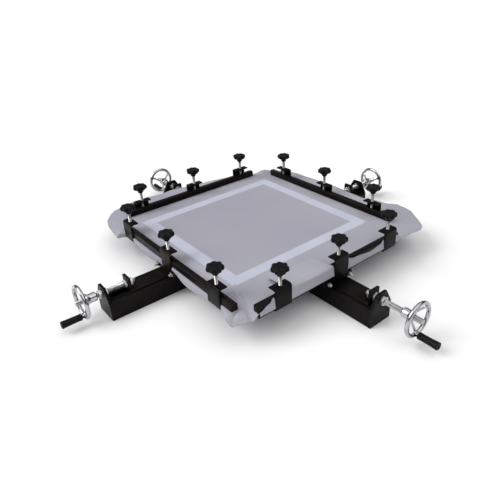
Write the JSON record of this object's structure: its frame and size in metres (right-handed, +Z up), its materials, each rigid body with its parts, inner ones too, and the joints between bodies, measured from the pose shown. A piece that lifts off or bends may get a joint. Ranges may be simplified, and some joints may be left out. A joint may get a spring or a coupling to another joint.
{
  "type": "screen mesh stretching frame",
  "caption": "Manual four-sided stretching machine for screen printing mesh: crossed base, screw-driven carriages with clamp jaws, and a screen frame under the gripped mesh.",
  "frame": {"origin": "on the floor plane under the middle of the crossed base", "axes": "+Z up; -Y along the front arm, +X along the right arm, +Y along the rear arm, -X along the left arm"},
  "size_m": [1.4169, 1.3611, 0.2],
  "materials": {
    "black_paint": "semi-gloss black paint on steel",
    "zinc_steel": "bright zinc-plated steel",
    "chrome": "polished chrome plate",
    "black_plastic": "moulded black phenolic plastic",
    "frame_white": "white sealed wooden frame rails",
    "mesh": "fine woven polyester mesh, slightly see-through"
  },
  "bodies": {
    "root": {"cross_base": "black_paint", "feed_nuts": "zinc_steel", "screen_frame": "frame_white", "mesh_panel": "mesh", "front_end_bracket": "black_paint", "right_end_bracket": "black_paint", "rear_end_bracket": "black_paint", "left_end_bracket": "black_paint"},
    "front_slide": {"front_carriage": "black_paint", "front_carriage_bolts": "zinc_steel", "front_lower_jaw": "black_paint", "front_clamp_brackets": "black_paint", "front_mesh_edge": "mesh"},
    "front_drive": {"front_lead_screw": "zinc_steel", "front_lock_nuts": "zinc_steel", "front_handwheel": "chrome"},
    "front_handle": {"front_grip": "black_plastic"},
    "front_clamp_bar": {"front_upper_jaw": "black_paint"},
    "front_clamp_knob_1": {"front_knob_1": "black_plastic"},
    "front_clamp_knob_2": {"front_knob_2": "black_plastic"},
    "front_clamp_knob_3": {"front_knob_3": "black_plastic"},
    "right_slide": {"right_carriage": "black_paint", "right_carriage_bolts": "zinc_steel", "right_lower_jaw": "black_paint", "right_clamp_brackets": "black_paint", "right_mesh_edge": "mesh"},
    "right_drive": {"right_lead_screw": "zinc_steel", "right_lock_nuts": "zinc_steel", "right_handwheel": "chrome"},
    "right_handle": {"right_grip": "black_plastic"},
    "right_clamp_bar": {"right_upper_jaw": "black_paint"},
    "right_clamp_knob_1": {"right_knob_1": "black_plastic"},
    "right_clamp_knob_2": {"right_knob_2": "black_plastic"},
    "right_clamp_knob_3": {"right_knob_3": "black_plastic"},
    "rear_slide": {"rear_carriage": "black_paint", "rear_carriage_bolts": "zinc_steel", "rear_lower_jaw": "black_paint", "rear_clamp_brackets": "black_paint", "rear_mesh_edge": "mesh"},
    "rear_drive": {"rear_lead_screw": "zinc_steel", "rear_lock_nuts": "zinc_steel", "rear_handwheel": "chrome"},
    "rear_handle": {"rear_grip": "black_plastic"},
    "rear_clamp_bar": {"rear_upper_jaw": "black_paint"},
    "rear_clamp_knob_1": {"rear_knob_1": "black_plastic"},
    "rear_clamp_knob_2": {"rear_knob_2": "black_plastic"},
    "rear_clamp_knob_3": {"rear_knob_3": "black_plastic"},
    "left_slide": {"left_carriage": "black_paint", "left_carriage_bolts": "zinc_steel", "left_lower_jaw": "black_paint", "left_clamp_brackets": "black_paint", "left_mesh_edge": "mesh"},
    "left_drive": {"left_lead_screw": "zinc_steel", "left_lock_nuts": "zinc_steel", "left_handwheel": "chrome"},
    "left_handle": {"left_grip": "black_plastic"},
    "left_clamp_bar": {"left_upper_jaw": "black_paint"},
    "left_clamp_knob_1": {"left_knob_1": "black_plastic"},
    "left_clamp_knob_2": {"left_knob_2": "black_plastic"},
    "left_clamp_knob_3": {"left_knob_3": "black_plastic"}
  },
  "joints": [
    {"name": "front_carriage_travel", "type": "slide", "parent": "root", "child": "front_slide", "axis": [0, -1, 0], "range_m": [-0.005, 0.05051]},
    {"name": "front_screw_turn", "type": "hinge", "parent": "front_slide", "child": "front_drive", "pos_m": [0, -0.33099, 0.076], "axis": [0, -1, 0], "range_deg": [-449.55, 4545.45]},
    {"name": "front_grip_turn", "type": "hinge", "parent": "front_drive", "child": "front_handle", "pos_m": [0, -0.60399, 0.03], "axis": [0, -1, 0], "continuous": true},
    {"name": "front_clamp_bar_lift", "type": "slide", "parent": "front_slide", "child": "front_clamp_bar", "axis": [0, 0, 1], "range_m": [0, 0.012]},
    {"name": "front_knob_1_turn", "type": "hinge", "parent": "front_clamp_bar", "child": "front_clamp_knob_1", "pos_m": [-0.23, -0.33099, 0.142], "axis": [0, 0, 1], "range_deg": [0, 2880.3]},
    {"name": "front_knob_2_turn", "type": "hinge", "parent": "front_clamp_bar", "child": "front_clamp_knob_2", "pos_m": [0.017, -0.33099, 0.142], "axis": [0, 0, 1], "range_deg": [0, 2880.3]},
    {"name": "front_knob_3_turn", "type": "hinge", "parent": "front_clamp_bar", "child": "front_clamp_knob_3", "pos_m": [0.264, -0.33099, 0.142], "axis": [0, 0, 1], "range_deg": [0, 2880.3]},
    {"name": "right_carriage_travel", "type": "slide", "parent": "root", "child": "right_slide", "axis": [1, 0, 0], "range_m": [-0.05495, 0.00056]},
    {"name": "right_screw_turn", "type": "hinge", "parent": "right_slide", "child": "right_drive", "pos_m": [0.38094, 0, 0.076], "axis": [1, 0, 0], "range_deg": [-4945.05, 49.95]},
    {"name": "right_grip_turn", "type": "hinge", "parent": "right_drive", "child": "right_handle", "pos_m": [0.65394, 0, 0.03], "axis": [1, 0, 0], "continuous": true},
    {"name": "right_clamp_bar_lift", "type": "slide", "parent": "right_slide", "child": "right_clamp_bar", "axis": [0, 0, 1], "range_m": [0, 0.012]},
    {"name": "right_knob_1_turn", "type": "hinge", "parent": "right_clamp_bar", "child": "right_clamp_knob_1", "pos_m": [0.38094, -0.214, 0.142], "axis": [0, 0, 1], "range_deg": [0, 2880.3]},
    {"name": "right_knob_2_turn", "type": "hinge", "parent": "right_clamp_bar", "child": "right_clamp_knob_2", "pos_m": [0.38094, 0.006, 0.142], "axis": [0, 0, 1], "range_deg": [0, 2880.3]},
    {"name": "right_knob_3_turn", "type": "hinge", "parent": "right_clamp_bar", "child": "right_clamp_knob_3", "pos_m": [0.38094, 0.226, 0.142], "axis": [0, 0, 1], "range_deg": [0, 2880.3]},
    {"name": "rear_carriage_travel", "type": "slide", "parent": "root", "child": "rear_slide", "axis": [0, 1, 0], "range_m": [-0.02609, 0.02942]},
    {"name": "rear_screw_turn", "type": "hinge", "parent": "rear_slide", "child": "rear_drive", "pos_m": [0, 0.35208, 0.076], "axis": [0, 1, 0], "range_deg": [-2347.65, 2647.35]},
    {"name": "rear_grip_turn", "type": "hinge", "parent": "rear_drive", "child": "rear_handle", "pos_m": [0, 0.62509, 0.03], "axis": [0, 1, 0], "continuous": true},
    {"name": "rear_clamp_bar_lift", "type": "slide", "parent": "rear_slide", "child": "rear_clamp_bar", "axis": [0, 0, 1], "range_m": [0, 0.012]},
    {"name": "rear_knob_1_turn", "type": "hinge", "parent": "rear_clamp_bar", "child": "rear_clamp_knob_1", "pos_m": [0.222, 0.35208, 0.142], "axis": [0, 0, 1], "range_deg": [0, 2880.3]},
    {"name": "rear_knob_2_turn", "type": "hinge", "parent": "rear_clamp_bar", "child": "rear_clamp_knob_2", "pos_m": [-0.004, 0.35208, 0.142], "axis": [0, 0, 1], "range_deg": [0, 2880.3]},
    {"name": "rear_knob_3_turn", "type": "hinge", "parent": "rear_clamp_bar", "child": "rear_clamp_knob_3", "pos_m": [-0.23, 0.35208, 0.142], "axis": [0, 0, 1], "range_deg": [0, 2880.3]},
    {"name": "left_carriage_travel", "type": "slide", "parent": "root", "child": "left_slide", "axis": [-1, 0, 0], "range_m": [-0.03202, 0.02348]},
    {"name": "left_screw_turn", "type": "hinge", "parent": "left_slide", "child": "left_drive", "pos_m": [-0.35802, 0, 0.076], "axis": [-1, 0, 0], "range_deg": [-2882.11, 2112.89]},
    {"name": "left_grip_turn", "type": "hinge", "parent": "left_drive", "child": "left_handle", "pos_m": [-0.63102, 0, 0.03], "axis": [-1, 0, 0], "continuous": true},
    {"name": "left_clamp_bar_lift", "type": "slide", "parent": "left_slide", "child": "left_clamp_bar", "axis": [0, 0, 1], "range_m": [0, 0.012]},
    {"name": "left_knob_1_turn", "type": "hinge", "parent": "left_clamp_bar", "child": "left_clamp_knob_1", "pos_m": [-0.35802, 0.226, 0.142], "axis": [0, 0, 1], "range_deg": [0, 2880.3]},
    {"name": "left_knob_2_turn", "type": "hinge", "parent": "left_clamp_bar", "child": "left_clamp_knob_2", "pos_m": [-0.35802, 0.003, 0.142], "axis": [0, 0, 1], "range_deg": [0, 2880.3]},
    {"name": "left_knob_3_turn", "type": "hinge", "parent": "left_clamp_bar", "child": "left_clamp_knob_3", "pos_m": [-0.35802, -0.22, 0.142], "axis": [0, 0, 1], "range_deg": [0, 2880.3]}
  ],
  "couplings": [
    {"joint": "front_carriage_travel", "follows": "front_screw_turn", "m_per_rad": 0.00063662},
    {"joint": "front_knob_1_turn", "follows": "front_clamp_bar_lift", "rad_per_m": 4188.8},
    {"joint": "front_knob_2_turn", "follows": "front_clamp_bar_lift", "rad_per_m": 4188.8},
    {"joint": "front_knob_3_turn", "follows": "front_clamp_bar_lift", "rad_per_m": 4188.8},
    {"joint": "right_carriage_travel", "follows": "right_screw_turn", "m_per_rad": 0.00063662},
    {"joint": "right_knob_1_turn", "follows": "right_clamp_bar_lift", "rad_per_m": 4188.8},
    {"joint": "right_knob_2_turn", "follows": "right_clamp_bar_lift", "rad_per_m": 4188.8},
    {"joint": "right_knob_3_turn", "follows": "right_clamp_bar_lift", "rad_per_m": 4188.8},
    {"joint": "rear_carriage_travel", "follows": "rear_screw_turn", "m_per_rad": 0.00063662},
    {"joint": "rear_knob_1_turn", "follows": "rear_clamp_bar_lift", "rad_per_m": 4188.8},
    {"joint": "rear_knob_2_turn", "follows": "rear_clamp_bar_lift", "rad_per_m": 4188.8},
    {"joint": "rear_knob_3_turn", "follows": "rear_clamp_bar_lift", "rad_per_m": 4188.8},
    {"joint": "left_carriage_travel", "follows": "left_screw_turn", "m_per_rad": 0.00063662},
    {"joint": "left_knob_1_turn", "follows": "left_clamp_bar_lift", "rad_per_m": 4188.8},
    {"joint": "left_knob_2_turn", "follows": "left_clamp_bar_lift", "rad_per_m": 4188.8},
    {"joint": "left_knob_3_turn", "follows": "left_clamp_bar_lift", "rad_per_m": 4188.8}
  ]
}
